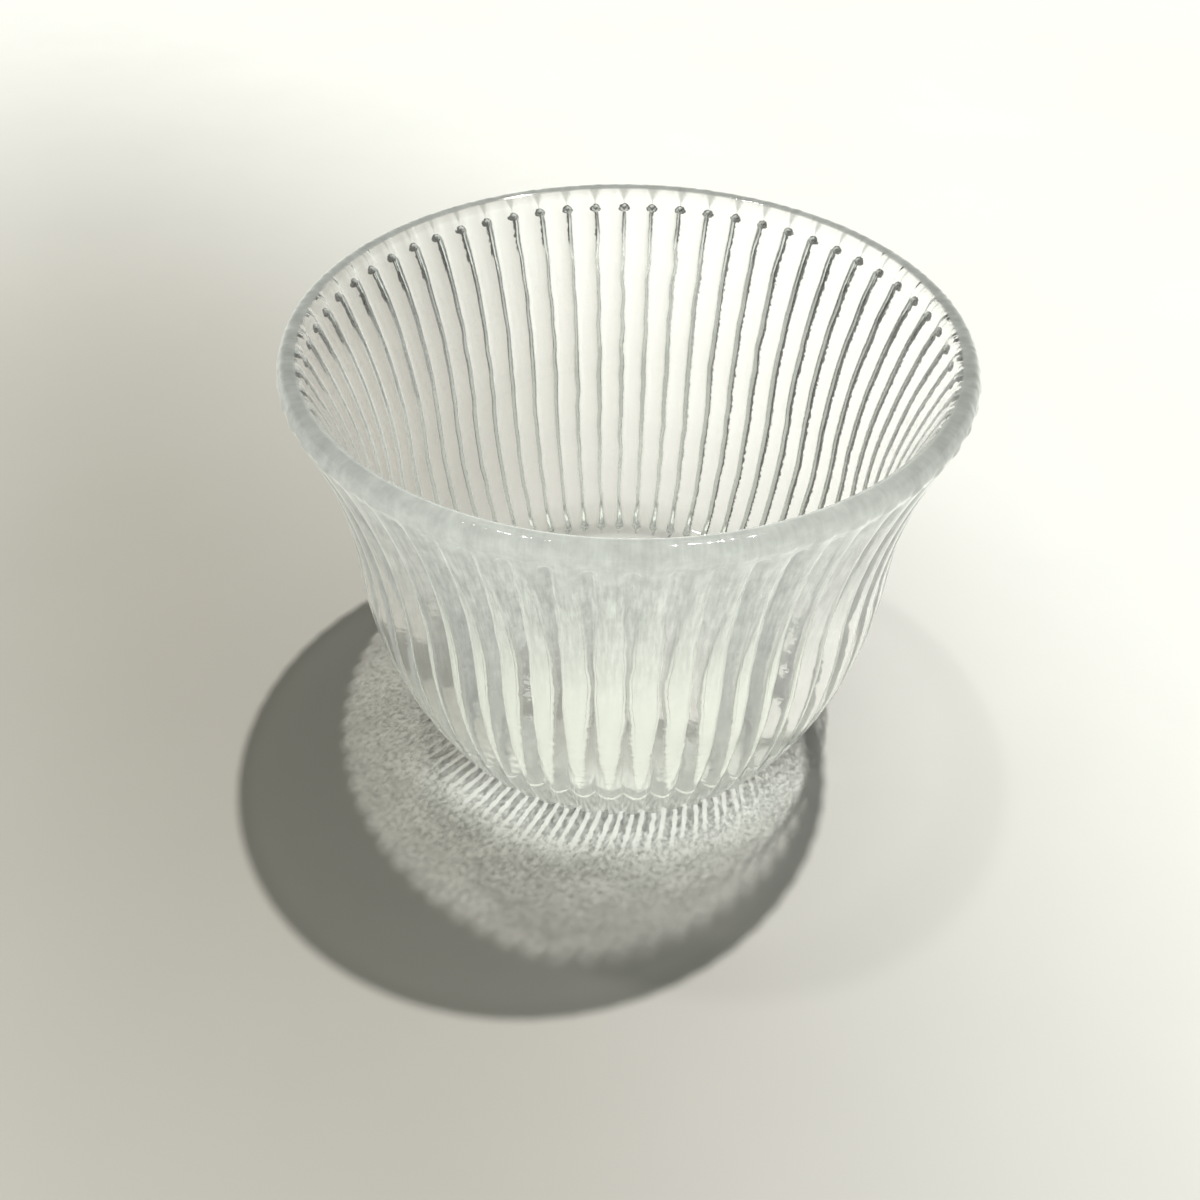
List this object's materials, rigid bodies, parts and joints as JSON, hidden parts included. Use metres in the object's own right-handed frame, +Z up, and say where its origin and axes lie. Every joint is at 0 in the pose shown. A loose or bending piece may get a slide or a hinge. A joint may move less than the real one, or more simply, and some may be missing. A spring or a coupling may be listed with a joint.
{
  "type": "tea glass",
  "caption": "Small clear pressed-glass cup with upright reeds outside, a flared plain lip, a rounded belly and a ring foot, for hot tea or chai.",
  "frame": {"origin": "centre of the resting face, on the glass's axis", "axes": "+Z up along the glass's axis, from the foot to the lip; +X and +Y lie in the resting face, with a groove between two reeds on +X"},
  "size_m": [0.084, 0.084, 0.059],
  "materials": {
    "glass": "gloss"
  },
  "bodies": {
    "root": {"lip": "glass", "flared_wall": "glass", "belly_wall": "glass", "base": "glass", "foot_ring": "glass"}
  },
  "joints": []
}
